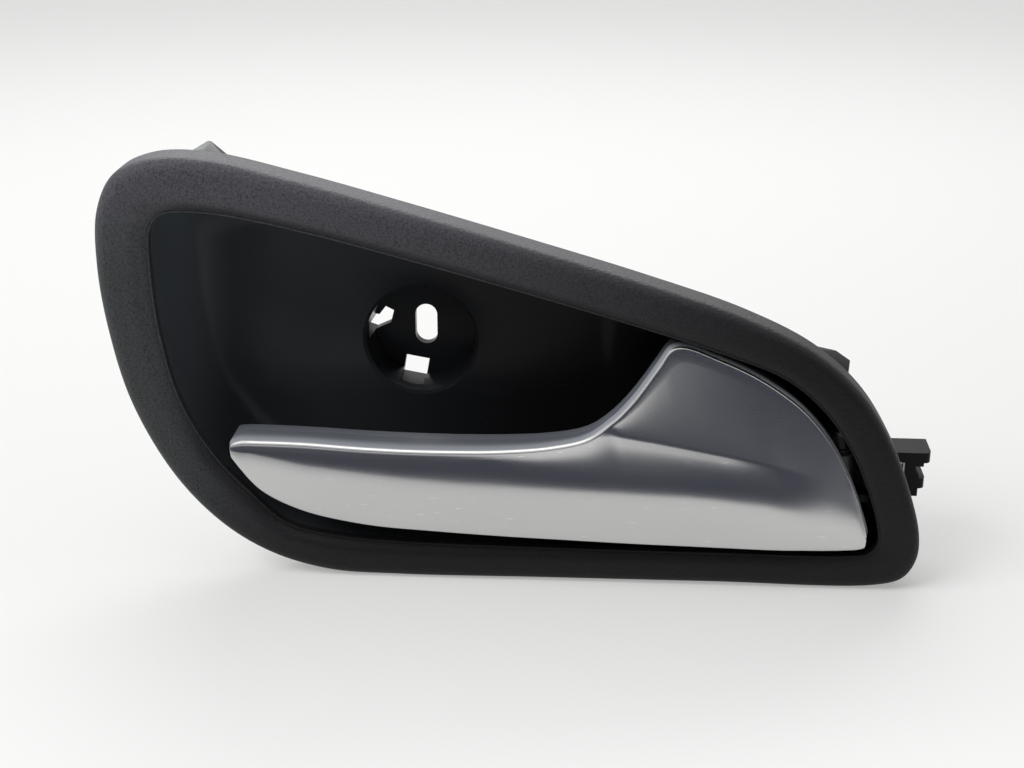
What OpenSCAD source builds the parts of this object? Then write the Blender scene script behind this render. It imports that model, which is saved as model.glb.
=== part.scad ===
// Interior door handle: grained surround, finger bowl, chromed pull lever.
// X runs along the handle, -Y faces the cabin, +Z is up as fitted in the door.
// The origin is the middle of the screw slot on the rear seat of the screw boss.

/* [Screw boss and recess] */
// Width of the screw slot
slot_w = 5.4; // [4.5:0.1:6.5]
// Length of the screw slot from end to end
slot_len = 10.2; // [8:0.2:12]
// Thickness of the recess floor under the screw head
boss_floor_t = 2.6; // [2:0.1:3.5]
// Depth of the round screw recess below the bowl floor
recess_depth = 12; // [10:0.5:14]
// Radius of the recess at its mouth
recess_mouth_r = 13.3; // [12.8:0.1:13.8]
// Radius of the recess at its floor
recess_floor_r = 12.6; // [12.2:0.1:12.8]
// Wall around the recess
boss_wall = 3; // [2.4:0.2:3.6]

/* [Bowl] */
// Depth of the bowl from its front edge to its floor
bowl_depth = 22; // [20:0.5:24]
// Wall thickness of the moulded carrier
carrier_wall = 2.2; // [1.8:0.1:2.6]
// How far the bowl floor starts from the opening at the left
floor_left = 15; // [10:1:18]
// How far the bowl floor starts from the opening at the right
floor_right = 5; // [4:1:8]
// How far the bowl floor starts from the opening at the top
floor_top = 9; // [6:1:12]
// How far the bowl floor starts from the opening at the bottom
floor_bottom = 6; // [4:1:8]

/* [Surround] */
// Depth of the lip that edges the opening
lip_depth = 2; // [1.6:0.1:2.4]
// Depth of the surround in front of the door trim at its left end
rise_left = 9.8; // [9:0.2:11]
// Depth of the surround in front of the door trim at its right end
rise_right = 8.2; // [8:0.2:9]
// Depth of the outer edge that the lip stands in front of
lip_rise = 7.6; // [7:0.2:7.8]
// Wall thickness of the surround
rim_wall = 2.2; // [1.8:0.1:2.4]
// Radius of the heat stakes behind the surround
stake_r = 0.9; // [0.8:0.1:1]

/* [Lever] */
// Front of the lever blade ahead of the lip of the surround
blade_proud = 4.3; // [3.6:0.1:4.6]
// Depth of the plated shell behind the blade's front
shell_depth = 8.4; // [8:0.1:8.8]
// Depth of the dark rear half behind the shell
core_depth = 5; // [4.4:0.2:5.4]
// Wall thickness of the plated shell
shell_wall = 2; // [1.6:0.1:2.2]
// Radius of the shell's front edges
shell_edge_r = 1.6; // [1.2:0.1:1.8]
// Furthest turn of the lever, in degrees
lever_travel = 32; // [28:1:32]

/* [Hinge] */
// Depth of the hinge pin's axis in front of the lever's rear face
hinge_set = 3.7; // [3.5:0.1:3.9]
// Place of the hinge pin along the handle
pivot_x = 99; // [98.5:0.1:99.2]
// Radius of the hinge pin
pin_r = 1.6; // [1.5:0.1:1.8]
// Running clearance around the pin
pin_gap = 0.05; // [0.04:0.01:0.08]
// Wall of the hinge bushes
bush_wall = 0.8; // [0.7:0.1:0.9]
// Wall of the hinge eyes around the bushes
eye_wall = 1.4; // [1.3:0.1:1.5]
// Wire radius of the return spring
wire_r = 0.6; // [0.4:0.05:0.65]
// Turns of the return spring
spring_turns = 5; // [4:1:6]

/* [Cable] */
// Height of the cable line below the screw
cable_drop = 28.5; // [27.5:0.5:29.5]
// Cable line behind the hinge pin
arm_reach = 19.5; // [18.5:0.5:20]
// Thickness of the cable arm
arm_t = 4; // [3:0.5:5]
// Gap between the jaws that hold the cable sheath
sheath_gap = 4; // [3.5:0.5:5]

/* [Hidden] */
eps = 0.5;
free_gap = 0.3;
seat_gap = 0.1;
fit_gap = 0.02;

// Depth planes, from the rear seat forwards
recess_y = -boss_floor_t;
floor_y = recess_y - recess_depth;
floor_back_y = floor_y + carrier_wall;
bowl_y = floor_y - bowl_depth;
flange_back_y = bowl_y + carrier_wall;
lip_back_y = bowl_y - seat_gap;
lip_y = lip_back_y - lip_depth;
trim_y = lip_y + lip_rise;
blade_y = lip_y - blade_proud;
split_y = blade_y + shell_depth;
core_y = split_y + seat_gap;
core_back_y = core_y + core_depth;
pivot_y = core_back_y - hinge_set;

// Opening of the surround, clockwise from the left, seen from the cabin
lip_pts = [[-57.6, 24], [-57, 33], [-54.6, 36.3], [-50, 37.1], [-40, 36.4], [-22, 32.8],
    [0, 27.2], [26, 20.1], [52, 12.6], [72, 6.3], [85, 1.1], [94, -6.3], [100.6, -15.6],
    [105, -25.2], [108.1, -35.2], [108.3, -38.8], [106.4, -41.4], [102, -42.2], [70, -42.4],
    [30, -42.4], [-2, -42], [-18, -40.9], [-29.5, -38], [-38, -30.2], [-46, -21], [-52.9, -8],
    [-56.5, 8]];
// Outer edge of the surround, one point for each point of the opening
rim_pts = [[-69.9, 25], [-68.8, 37.4], [-64.6, 45.3], [-56.5, 49], [-44, 49.1], [-24, 44.7],
    [-1, 38.5], [26, 30.8], [54, 22.5], [76, 15], [91.5, 7.2], [102.4, -2.4], [110, -14.2],
    [115, -26.2], [118, -37], [117.9, -43.2], [115.2, -48], [109, -50.1], [70, -50.42],
    [30, -50.6], [-3, -50.8], [-20, -50], [-33.7, -45.9], [-44.8, -38.9], [-55.4, -26.9],
    [-64.4, -8.8], [-68.5, 9]];
// Upper outline of the lever from its tip to its hinge end
lever_top = [[-42.1, -18.2], [-41.6, -17], [-39.6, -16.3], [-34, -16.2], [-24, -16.4], [-10, -17],
    [6, -17.3], [22, -17], [33, -16.1], [41, -14.2], [46.3, -10.3], [51.2, -4.6], [56.6, 3.7],
    [59.2, 7.6], [62.3, 8.2], [70.2, 5.3], [77.3, 2.1], [84.3, -2.1], [89.7, -6.2], [94.6, -11.5],
    [99, -18.2], [102.7, -26.2], [105.5, -34.2], [106.2, -36.8]];
// Lower outline of the lever, one point for each point of the upper outline
lever_bottom = [[-41.9, -19.3], [-41.2, -20.6], [-39.4, -23.4], [-34.6, -28.8], [-25.5, -33.3],
    [-11, -36.2], [6, -37.4], [23, -38.2], [36, -38.6], [46, -38.9], [54, -39.1], [60.5, -39.2],
    [66.5, -39.3], [72, -39.4], [77, -39.5], [82, -39.7], [87, -39.9], [91.4, -40], [95, -40.1],
    [98.4, -40.1], [101.3, -40], [103.6, -39.8], [105.2, -39.2], [106, -37.9]];
spline_steps = 4;

// Point of a centripetal spline between p1 and p2, u from 0 to 1
function knot(a, b) = sqrt(norm(b - a));
function mix(a, b, ta, tb, t) = a * (tb - t) / (tb - ta) + b * (t - ta) / (tb - ta);
function spline_point(p0, p1, p2, p3, u) =
    let (t1 = knot(p0, p1), t2 = t1 + knot(p1, p2), t3 = t2 + knot(p2, p3),
        t = t1 + u * (t2 - t1),
        a1 = mix(p0, p1, 0, t1, t), a2 = mix(p1, p2, t1, t2, t), a3 = mix(p2, p3, t2, t3, t),
        b1 = mix(a1, a2, 0, t2, t), b2 = mix(a2, a3, t1, t3, t))
    mix(b1, b2, t1, t2, t);
function closed_spline(p, steps) = [for (i = [0:len(p) - 1], j = [0:steps - 1])
    spline_point(p[(i + len(p) - 1) % len(p)], p[i], p[(i + 1) % len(p)],
        p[(i + 2) % len(p)], j / steps)];
function padded_ends(p) = concat([2 * p[0] - p[1]], p, [2 * p[len(p) - 1] - p[len(p) - 2]]);
function open_spline(p, steps) = let (q = padded_ends(p))
    concat([for (i = [1:len(q) - 3], j = [0:steps - 1])
        spline_point(q[i - 1], q[i], q[i + 1], q[i + 2], j / steps)], [p[len(p) - 1]]);
function lerp(a, b, t) = a + (b - a) * t;
function clamp01(t) = min(1, max(0, t));
function ramp(x, x0, x1) = let (t = clamp01((x - x0) / (x1 - x0))) t * t * (3 - 2 * t);

lip = closed_spline(lip_pts, spline_steps);
rim = closed_spline(rim_pts, spline_steps);
n_rim = len(lip);
// Outward normal of a closed outline that runs clockwise
function outward(p, i) = let (d = p[(i + 1) % len(p)] - p[(i + len(p) - 1) % len(p)])
    [-d.y, d.x] / norm(d);
function grown(p, by) = [for (i = [0:len(p) - 1]) p[i] + by * outward(p, i)];
lip_box = [min([for (p = lip) p.x]), max([for (p = lip) p.x]),
    min([for (p = lip) p.y]), max([for (p = lip) p.y])];
function to_floor(p) = [
    lerp(lip_box[0] + floor_left, lip_box[1] - floor_right, (p.x - lip_box[0]) / (lip_box[1] - lip_box[0])),
    lerp(lip_box[2] + floor_bottom, lip_box[3] - floor_top, (p.y - lip_box[2]) / (lip_box[3] - lip_box[2]))];
bowl_floor = [for (p = lip) to_floor(p)];
function at_depth(p, y) = [p.x, y, p.y];

// Faces of a strip of quads between rings of n points, two triangles to a quad
function ring_faces(rings, n, closed) = [for (r = [0:rings - (closed ? 1 : 2)], c = [0:n - 1])
    let (a = r * n + c, b = r * n + (c + 1) % n,
        d = ((r + 1) % rings) * n + c, e = ((r + 1) % rings) * n + (c + 1) % n)
    each [[a, b, e], [a, e, d]]];

// Children drawn in the XZ plane, given thickness between two depths
module slab(y0, y1) {
    translate([0, y1, 0]) rotate([90, 0, 0]) linear_extrude(y1 - y0) children();
}
module rod_y(x, z, y0, y1, r) {
    translate([x, y1, z]) rotate([90, 0, 0]) cylinder(h = y1 - y0, r = r, $fn = 48);
}
module block(x0, x1, y0, y1, z0, z1) {
    translate([x0, y0, z0]) cube([x1 - x0, y1 - y0, z1 - z0]);
}

// Surround: section across the rim, from the outer edge over the crest to the lip and back inside
function rise_at(x) = lerp(rise_left, rise_right, clamp01((x - lip_box[0]) / (lip_box[1] - lip_box[0])));
crest_at = 0.4;
roll_steps = 6;
roll_square = 0.7;
edge_share = 0.6;
fall_steps = 5;
fall_square = 4;
// Where the hidden side of the section leaves the lip and turns down to the outer wall
back_lip_at = 0.86;
back_turn_at = 0.55;
back_round = 1.6;
function rim_section(i) =
    let (o = rim[i], l = lip[i], w = norm(l - o), rise = rise_at(o.x), top = trim_y - rise,
        tw = rim_wall / w)
    concat(
        [for (k = [0:roll_steps]) let (a = 90 * k / roll_steps)
            at_depth(lerp(o, l, crest_at * (1 - pow(cos(a), roll_square))),
                trim_y - rise * lerp(edge_share, 1, pow(sin(a), roll_square)))],
        [for (k = [1:fall_steps]) let (u = k / fall_steps)
            at_depth(lerp(o, l, lerp(crest_at, 1, u)), lerp(top, lip_y, pow(u, fall_square)))],
        [at_depth(l, lip_back_y), at_depth(lerp(o, l, back_lip_at), lip_back_y)],
        [for (k = [roll_steps:-2:0]) let (a = 90 * k / roll_steps)
            at_depth(lerp(o, l, lerp(tw, back_turn_at, pow(1 - cos(a), back_round))),
                trim_y - (rise - rim_wall) * lerp(edge_share, 1, sqrt(sin(a))))],
        [at_depth(lerp(o, l, tw), trim_y), at_depth(o, trim_y)]);
module rim_skin() {
    n = len(rim_section(0));
    sections = [for (i = [0:n_rim - 1]) let (s = rim_section(i)) [for (k = [n - 1:-1:0]) s[k]]];
    polyhedron(points = [for (s = sections) each s], faces = ring_faces(n_rim, n, true), convexity = 6);
}
stake_at = [3, 20, 26, 31, 36, 41, 72, 75, 79, 84, 90, 96, 102];
stake_out = carrier_wall + 1.2;
function beside_lip(i, out) = lip[i] + out * outward(lip, i);
stake_head_r = stake_r + 0.25;
stake_head_t = 1;
module bezel() {
    color("#3b3c3d") union() {
        rim_skin();
        for (i = stake_at) let (p = beside_lip(i, stake_out)) {
            rod_y(p.x, p.y, lip_back_y - 1.6, flange_back_y + seat_gap + stake_head_t, stake_r);
            rod_y(p.x, p.y, flange_back_y + seat_gap, flange_back_y + seat_gap + stake_head_t, stake_head_r);
        }
    }
}

// Bowl: from the middle of the floor out to the front edge and back behind the wall
bowl_steps = 7;
function bowl_ring(i, by, back) = [for (k = [0:bowl_steps]) let (a = 90 * (1 - k / bowl_steps))
    at_depth(lerp(lip[i] + by * outward(lip, i), bowl_floor[i] + by * outward(lip, i), 1 - cos(a)),
        lerp(bowl_y, floor_y + back, sin(a)))];
module bowl_skin() {
    inside = [for (i = [0:n_rim - 1]) bowl_ring(i, 0, 0)];
    outside = [for (i = [0:n_rim - 1]) bowl_ring(i, carrier_wall, carrier_wall)];
    rows = [for (i = [0:n_rim - 1]) concat(inside[i], [for (k = [bowl_steps:-1:0]) outside[i][k]])];
    n = len(rows[0]);
    front_mid = n_rim * n;
    back_mid = front_mid + 1;
    points = concat([for (r = rows) each r], [[0, floor_y, 0], [0, floor_y + carrier_wall, 0]]);
    wall = [for (i = [0:n_rim - 1], k = [0:n - 2])
        let (j = (i + 1) % n_rim, a = i * n + k, b = i * n + k + 1, d = j * n + k, e = j * n + k + 1)
        each [[a, b, e], [a, e, d]]];
    caps = [for (i = [0:n_rim - 1]) let (j = (i + 1) % n_rim)
        each [[front_mid, i * n, j * n], [back_mid, j * n + n - 1, i * n + n - 1]]];
    polyhedron(points = points, faces = concat(wall, caps), convexity = 6);
}

bush_r = pin_r + pin_gap + bush_wall;
eye_r = bush_r + eye_wall;
lug_r = eye_r - 1.2;
// Heights of the lugs, eyes and spring along the pin
lower_lug_z = [-44.6, -41.6];
upper_lug_z = [-16.6, -13.6];
bush_flange_t = 1;
lower_eye_z = [lower_lug_z[1] + free_gap + bush_flange_t, -33.4];
upper_eye_z = [-24.2, upper_lug_z[0] - free_gap - bush_flange_t];
// Housing of the hinge arm behind the bowl
housing_wall = 2.5;
arm_w = 6;
arm_past = 2.6;
post_r = 1.6;
sleeve_r = 3.2;
open_post_x = pivot_x - arm_w / 2 * cos(lever_travel) - (arm_reach + arm_past) * sin(lever_travel)
    - free_gap - sleeve_r;
post_room = 0.7;
housing_x = [open_post_x - sleeve_r - post_room, 107];
housing_z = [lower_lug_z[1], upper_lug_z[0]];
arm_room = 4.5;
housing_y = pivot_y + arm_reach + arm_room;
housing_mouth_y = bowl_y + 10;
right_wall_y = pivot_y + 6;
// Half height of the way through the right wall for the cable
cable_way = 2.2;
// Upper right corner cut off the housing, so that it stays behind the surround
corner_out = [8, 13.4];
corner_in = [5.5, 9.5];
module housing_box(y0, y1, x, z, corner) {
    slab(y0, y1) polygon([[x[0], z[0]], [x[1], z[0]], [x[1], z[1] - corner.y],
        [x[1] - corner.x, z[1]], [x[0], z[1]]]);
}
housing_out_x = [housing_x[0] - housing_wall, housing_x[1] + housing_wall];
housing_out_z = [lower_lug_z[0], upper_lug_z[1]];
module housing_outer(y0) {
    housing_box(y0, housing_y + housing_wall, housing_out_x, housing_out_z, corner_out);
}
module housing_inner(y0) {
    housing_box(y0, housing_y, housing_x, housing_z, corner_in);
}
// Right wall of the housing, which runs forward beside the hinge
module right_wall() {
    intersection() {
        housing_outer(right_wall_y);
        union() {
            block(housing_x[1], housing_out_x[1], right_wall_y, housing_y + 1,
                housing_out_z[0], housing_out_z[1]);
            for (z = [lower_lug_z, upper_lug_z])
                block(pivot_x - lug_r, housing_out_x[1], right_wall_y, floor_y + eps, z[0], z[1]);
        }
    }
}
// Lug that carries one end of the pin
module lug(z) {
    translate([pivot_x, pivot_y, z[0]]) cylinder(h = z[1] - z[0], r = lug_r, $fn = 48);
    block(pivot_x - lug_r, pivot_x + lug_r, pivot_y, floor_y + eps, z[0], z[1]);
}
flange_edge = rim_wall + 1.3;
function within_rim(i, by) = lerp(rim[i], lip[i], by / norm(rim[i] - lip[i]));
module flange() {
    slab(bowl_y, flange_back_y) difference() {
        polygon([for (i = [0:n_rim - 1]) within_rim(i, flange_edge)]);
        polygon(lip);
    }
}
// Round boss with its recess, screw slot and cap windows
module boss_outer() {
    rod_y(0, 0, floor_y + carrier_wall / 2, 0, recess_floor_r + boss_wall);
}
mouth_bevel = 0.7;
module recess() {
    translate([0, recess_y, 0]) rotate([90, 0, 0])
        cylinder(h = recess_depth, r1 = recess_floor_r, r2 = recess_mouth_r, $fn = 64);
    translate([0, floor_y + mouth_bevel, 0]) rotate([90, 0, 0])
        cylinder(h = 2 * mouth_bevel, r1 = recess_mouth_r, r2 = recess_mouth_r + 2 * mouth_bevel, $fn = 64);
}
module screw_slot() {
    half = (slot_len - slot_w) / 2;
    slab(recess_y - eps, eps) square([slot_w, 2 * half], center = true);
    for (s = [-1, 1]) rod_y(0, s * half, recess_y - eps, eps, slot_w / 2);
}
// How far the cap windows reach up the recess wall
window_up = 8;
square_window = [5.8, 5.2];
square_window_at = [-2.7, -11.2];
cap_window = [[-14.1, 2.4], [-11.6, 2.2], [-10, 4.3], [-8, 3.3], [-8.8, 0.2], [-12.4, -1.5], [-14.4, -0.8]];
module cap_windows() {
    slab(recess_y - window_up, eps) {
        polygon(cap_window);
        translate(square_window_at) rotate(-10) square(square_window, center = true);
    }
}
pin_head_t = 1.2;
pin_head_out = 1.3;
ring_t = 1;
ring_r = pin_r + 1.2;
// Ribs behind the bowl floor
rib_t = 1.8;
rib_y = floor_back_y + 5;
rib_x = [-26, 30, 50];
rib_z = [-10, 8];
rib_reach = 100;
star_rib = 30;
module ribs() {
    slab(floor_back_y - 1, rib_y) intersection() {
        polygon(bowl_floor);
        union() {
            for (z = rib_z) translate([0, z]) square([2 * housing_x[0], rib_t], center = true);
            for (x = rib_x) translate([x, 0]) square([rib_t, rib_reach], center = true);
            for (a = [45:90:315]) rotate(a) translate([0, -rib_t / 2]) square([star_rib, rib_t]);
        }
    }
}
// Pocket beside the hinge, in which the lever's end swings back
pocket_gap = 1.6;
pocket_x = 92;
pocket_top = -8.5;
module pocket(out, y0, y1) {
    slab(y0, y1) intersection() {
        polygon(grown(lip, out));
        translate([pocket_x, lower_lug_z[0]]) square([30, pocket_top - lower_lug_z[0]]);
    }
}
module pocket_wall() {
    difference() {
        pocket(pocket_gap + carrier_wall, bowl_y, right_wall_y + housing_wall);
        pocket(pocket_gap, bowl_y - eps, right_wall_y + 2 * housing_wall);
    }
}
// Snap tabs above the flange: each rises from the surround's outer edge towards its back end
tab_y = [trim_y + seat_gap, -24];
tab_land = 0.6;
upper_tab_low = [[-51.6, 45.6], [-51.4, 47.4], [-46.4, 47.6], [-40, 46.4], [-40, 44]];
upper_tab_high = [[-51.6, 44], [-50.2, 47.2], [-46.3, 49.9], [-45.5, 49.8], [-41.3, 46.2], [-41.3, 42]];
upper_tab_foot = [[-50, 41.5], [-50, 45], [-42, 44.4], [-42, 41]];
hook_low = [[88.5, 4.4], [90, 6], [99.6, -1.6], [99.8, -4.4], [98.4, -5]];
hook_high = [[90, 1.6], [92.4, 4.2], [97.6, 3.1], [100.9, 0.8], [100.6, -2.2], [98.4, -5]];
hook_foot = [[91.5, 2.2], [100, -5.3], [98.4, -7.2], [90, 0.3]];
module tab(low, high, foot) {
    hull() {
        slab(tab_y[0], tab_y[0] + tab_land) polygon(low);
        slab(tab_y[1] - tab_land, tab_y[1]) polygon(high);
    }
    slab(bowl_y, tab_y[1]) polygon(foot);
}
module snap_tabs() {
    tab(upper_tab_low, upper_tab_high, upper_tab_foot);
    tab(hook_low, hook_high, hook_foot);
}
// Jaws that hold the cable sheath beside the hinge
jaw_x = 122.5;
jaw_round = 1.6;
jaw_y = [pivot_y + arm_reach - 6, pivot_y + arm_reach + 3];
jaw_t = 2.6;
jaw_web_t = 2;
jaw_lip = [2.6, 0.9];
// How far the lower jaw, its rib and the web stop short of the upper jaw's end, and where they start
low_jaw_short = 1;
low_rib_short = 2.6;
low_rib_t = 2;
web_short = 3.5;
low_jaw_x = 116.4;
cable_z = -cable_drop;
post_len = 8;
cable_y = pivot_y + arm_reach;
coil_r = pin_r + 0.35 + wire_r;
spring_peg_x = pivot_x + coil_r + wire_r + free_gap;
peg_y = [4.9, 7.4];
// Flat jaw with one round corner at its free end
module jaw(x0, x1, z0, z1) {
    block(x0, x1 - jaw_round, jaw_y[0], jaw_y[1], z0, z1);
    block(x0, x1, jaw_y[0] + jaw_round, jaw_y[1], z0, z1);
    translate([x1 - jaw_round, jaw_y[0] + jaw_round, z0]) cylinder(h = z1 - z0, r = jaw_round, $fn = 32);
}
// Ridge along a jaw that keeps the sheath in
module jaw_ridge(x1, z0, z1) {
    block(x1 - jaw_lip.x, x1, jaw_y[0], jaw_y[1], z0, z1);
}
module cable_bracket() {
    x0 = housing_x[1] + eps;
    top = cable_z + sheath_gap / 2;
    low = cable_z - sheath_gap / 2;
    low_x1 = jaw_x - low_jaw_short;
    rib_x1 = jaw_x - low_rib_short;
    jaw(x0, jaw_x, top, top + jaw_t);
    jaw(low_jaw_x, low_x1, low - jaw_t, low);
    block(low_jaw_x, rib_x1, jaw_y[0], jaw_y[1], low - jaw_t - low_rib_t, low - jaw_t + seat_gap);
    block(low_jaw_x, jaw_x - web_short, jaw_y[0], jaw_y[0] + jaw_web_t, low - seat_gap, top + seat_gap);
    jaw_ridge(jaw_x - jaw_round, top - jaw_lip.y, top + seat_gap);
    jaw_ridge(low_x1 - jaw_round, low - seat_gap, low + jaw_lip.y);
}
module carrier() {
    color("#141416") difference() {
        union() {
            difference() {
                union() {
                    bowl_skin();
                    flange();
                    boss_outer();
                    housing_outer(floor_y);
                    ribs();
                    snap_tabs();
                }
                housing_inner(housing_mouth_y);
                pocket(pocket_gap, bowl_y - eps, right_wall_y + 0.5);
            }
            pocket_wall();
            right_wall();
            lug(lower_lug_z);
            lug(upper_lug_z);
            cable_bracket();
            rod_y(open_post_x, cable_z, floor_y - post_len, housing_y + 1, post_r);
            block(spring_peg_x, housing_x[1] + 1, pivot_y + peg_y[0], pivot_y + peg_y[1],
                coil_z[0] - wire_r - seat_gap, coil_z[0] + 2 * wire_r);
        }
        recess();
        screw_slot();
        cap_windows();
        block(housing_x[1] - eps, housing_x[1] + housing_wall + eps, cable_y - cable_way, cable_y + cable_way,
            cable_z - sheath_gap / 2, cable_z + sheath_gap / 2);
        on_pivot([lower_lug_z[0] - eps, upper_lug_z[1] + eps], pin_r + fit_gap);
        on_pivot([upper_lug_z[1], upper_lug_z[1] + ring_t + 1.5], ring_r + free_gap);
        on_pivot([lower_lug_z[0] - pin_head_t - 1, lower_lug_z[0]], pin_r + pin_head_out + free_gap);
        translate([pivot_x, cable_y, lower_lug_z[0] - eps])
            cylinder(h = lower_lug_z[1] - lower_lug_z[0] + 2 * eps, r = socket_r + free_gap, $fn = 32);
        for (i = stake_at) let (p = beside_lip(i, stake_out))
            rod_y(p.x, p.y, bowl_y - eps, flange_back_y + eps, stake_r + seat_gap);
    }
}

// Lever sections from the upper to the lower outline
top_line = open_spline(lever_top, spline_steps - 1);
low_line = open_spline(lever_bottom, spline_steps - 1);
n_lev = len(top_line);
crease_start = [49, -12.4];
crease_slope = -0.2;
edge_drop = 2.4;
fin_height = 20;
end_set = 2;
// How far the lever's front falls back from its crest: upper edge, more on the fin, crease and lower edge
top_fall = 1.5;
fin_fall = 4.6;
crease_fall = 0.9;
crease_fin_fall = 1.9;
low_fall = 1.3;
corner_cut = 0.3;
// Front below the crease: share of the way down, fall from the crest, more fall on the fin
face_rows = [[0.1, 0.55, 0.7], [0.24, 0.18, 0.2], [0.42, 0, 0], [0.6, 0.12, 0], [0.78, 0.55, 0]];
// Share of the lever's full depth at its two end sections
first_share = 0.72;
second_share = 0.9;
function crease_z(t) = min(t.y - edge_drop, crease_start.y + crease_slope * (t.x - crease_start.x));
function fin_part(t) = clamp01((t.y - edge_drop - crease_z(t)) / fin_height);
function crest_y(x) = blade_y + end_set * pow(ramp(x, 66, 104), 1.2) + 1.2 * ramp(-x, 0, 42);
// Share of the full depth, which falls to nothing at the two ends
function end_share(i) = let (from_end = min(i, n_lev - 1 - i))
    from_end == 0 ? first_share : from_end == 1 ? second_share : 1;
function front_section(i) =
    let (t = top_line[i], b = low_line[i], h = t.y - b.y, g = fin_part(t), r = min(shell_edge_r, h / 4),
        ym = crest_y((t.x + b.x) / 2), sc = min(0.55, (t.y - crease_z(t)) / h), share = end_share(i),
        yt = min(ym + top_fall + fin_fall * g, split_y - shell_edge_r - 0.4),
        yc = ym + crease_fall + crease_fin_fall * g,
        yl = ym + low_fall, low = 1 - sc, e = r / h,
        face = [for (q = face_rows) [sc + q[0] * low, ym + q[1] + q[2] * g]])
    [for (p = concat([[0, yt + r], [corner_cut * e, yt + corner_cut * r], [e, yt],
        [lerp(e, sc, 0.6), lerp(yt, yc, 0.62)], [sc, yc]], face,
        [[1 - e, yl], [1 - corner_cut * e, yl + corner_cut * r], [1, yl + r]]))
        at_depth(lerp(t, b, p[0]), lerp(split_y, p[1], share))];
function flat_section(i, n) = [for (k = [0:n - 1])
    at_depth(lerp(top_line[i], low_line[i], k / (n - 1)), split_y)];
lever_mid_x = (lever_top[0].x + lever_top[len(lever_top) - 1].x) / 2;
lever_len = lever_top[len(lever_top) - 1].x - lever_top[0].x;
// The hollow inside the shell: the front section drawn in by the wall on every side
function inner_of(sec, y_end) =
    let (n = len(sec), h = norm(sec[0] - sec[n - 1]), w = min(shell_wall / max(h, 0.1), 0.3),
        a = sec[0], b = sec[n - 1])
    [for (k = [0:n - 1]) let (p = sec[k], s = lerp(w, 1 - w, k / (n - 1)), q = lerp(a, b, s),
        z = lerp(p.z, lerp(a.z, b.z, 0.5), 2 * w), x = lerp(p.x, q.x, 2 * w))
        [lerp(x, lever_mid_x, 2 * shell_wall / lever_len), min(y_end, p.y + shell_wall), z]];
module lever_skin() {
    n = 15;
    body_rows = [for (i = [0:n_lev - 1]) let (f = front_section(i))
        concat([[f[0].x, split_y, f[0].z]], f, [[f[n - 3].x, split_y, f[n - 3].z]])];
    rows = concat([flat_section(0, n)], body_rows, [flat_section(n_lev - 1, n)]);
    inner = [for (r = rows) inner_of(r, split_y)];
    count = len(rows);
    points = concat([for (r = rows) each r], [for (r = inner) each r]);
    base = count * n;
    outer_faces = [for (i = [0:count - 2], k = [0:n - 2])
        let (a = i * n + k, b = a + 1, d = a + n, e = d + 1) each [[a, e, b], [a, d, e]]];
    inner_faces = [for (f = outer_faces) [base + f[0], base + f[2], base + f[1]]];
    edge_top = [for (i = [0:count - 2]) let (a = i * n, d = a + n)
        each [[a, base + a, d], [base + a, base + d, d]]];
    edge_low = [for (i = [0:count - 2]) let (a = i * n + n - 1, d = a + n)
        each [[a, d, base + a], [base + a, d, base + d]]];
    last = (count - 1) * n;
    edge_tip = [for (k = [0:n - 2]) each [[k, k + 1, base + k], [base + k, k + 1, base + k + 1]]];
    edge_end = [for (k = [0:n - 2]) let (a = last + k)
        each [[a, base + a, a + 1], [base + a, base + a + 1, a + 1]]];
    polyhedron(points = points, convexity = 6,
        faces = concat(outer_faces, inner_faces, edge_top, edge_low, edge_tip, edge_end));
}
// Screws that draw the core against the shell: place along, height
screw_at = [[-8, -27], [32, -28], [74, -28]];
screw_r = 1.3;
screw_head_r = 2.6;
screw_head_t = 1.6;
screw_boss_r = 3;
screw_hole_gap = 0.05;
// How far behind the blade's front the screw bosses, their holes and the screws' points start
boss_start = 1.4;
hole_start = 2.6;
screw_start = 3.4;
lug_clear_r = lug_r + 0.4;
over_lug_z = upper_lug_z[1] + 6;
module lever_shell() {
    color("#b9bcc0") difference() {
        union() {
            lever_skin();
            for (p = screw_at) rod_y(p.x, p.y, blade_y + boss_start, split_y, screw_boss_r);
        }
        for (p = screw_at) rod_y(p.x, p.y, blade_y + hole_start, split_y + eps, screw_r + screw_hole_gap);
        on_pivot([lower_lug_z[0], upper_eye_z[1] + seat_gap], eye_r + seat_gap);
        on_pivot([upper_eye_z[1], over_lug_z], lug_clear_r);
    }
}
core_edge_r = 1.8;
module core_skin() {
    rows = [for (i = [0:n_lev - 1])
        let (t = top_line[i], b = low_line[i], h = t.y - b.y, r = min(core_edge_r, h / 4), e = r / h,
            back = lerp(core_y, core_back_y, end_share(i)), cut = back - corner_cut * r)
        [for (p = [[0, core_y], [0, back - r], [corner_cut * e, cut], [e, back], [1 - e, back],
            [1 - corner_cut * e, cut], [1, back - r], [1, core_y]])
            at_depth(lerp(t, b, p[0]), p[1])]];
    n = 8;
    tip = [for (k = [n - 1:-1:0]) k];
    last = (n_lev - 1) * n;
    polyhedron(points = [for (r = rows) each r],
        faces = concat(ring_faces(n_lev, n, false), [tip], [[for (k = [0:n - 1]) last + k]]), convexity = 4);
}
// Arm that pulls the cable, with a slotted socket for the cable's end
web_y = [pivot_y + 4.6, pivot_y + 7.1];
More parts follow.
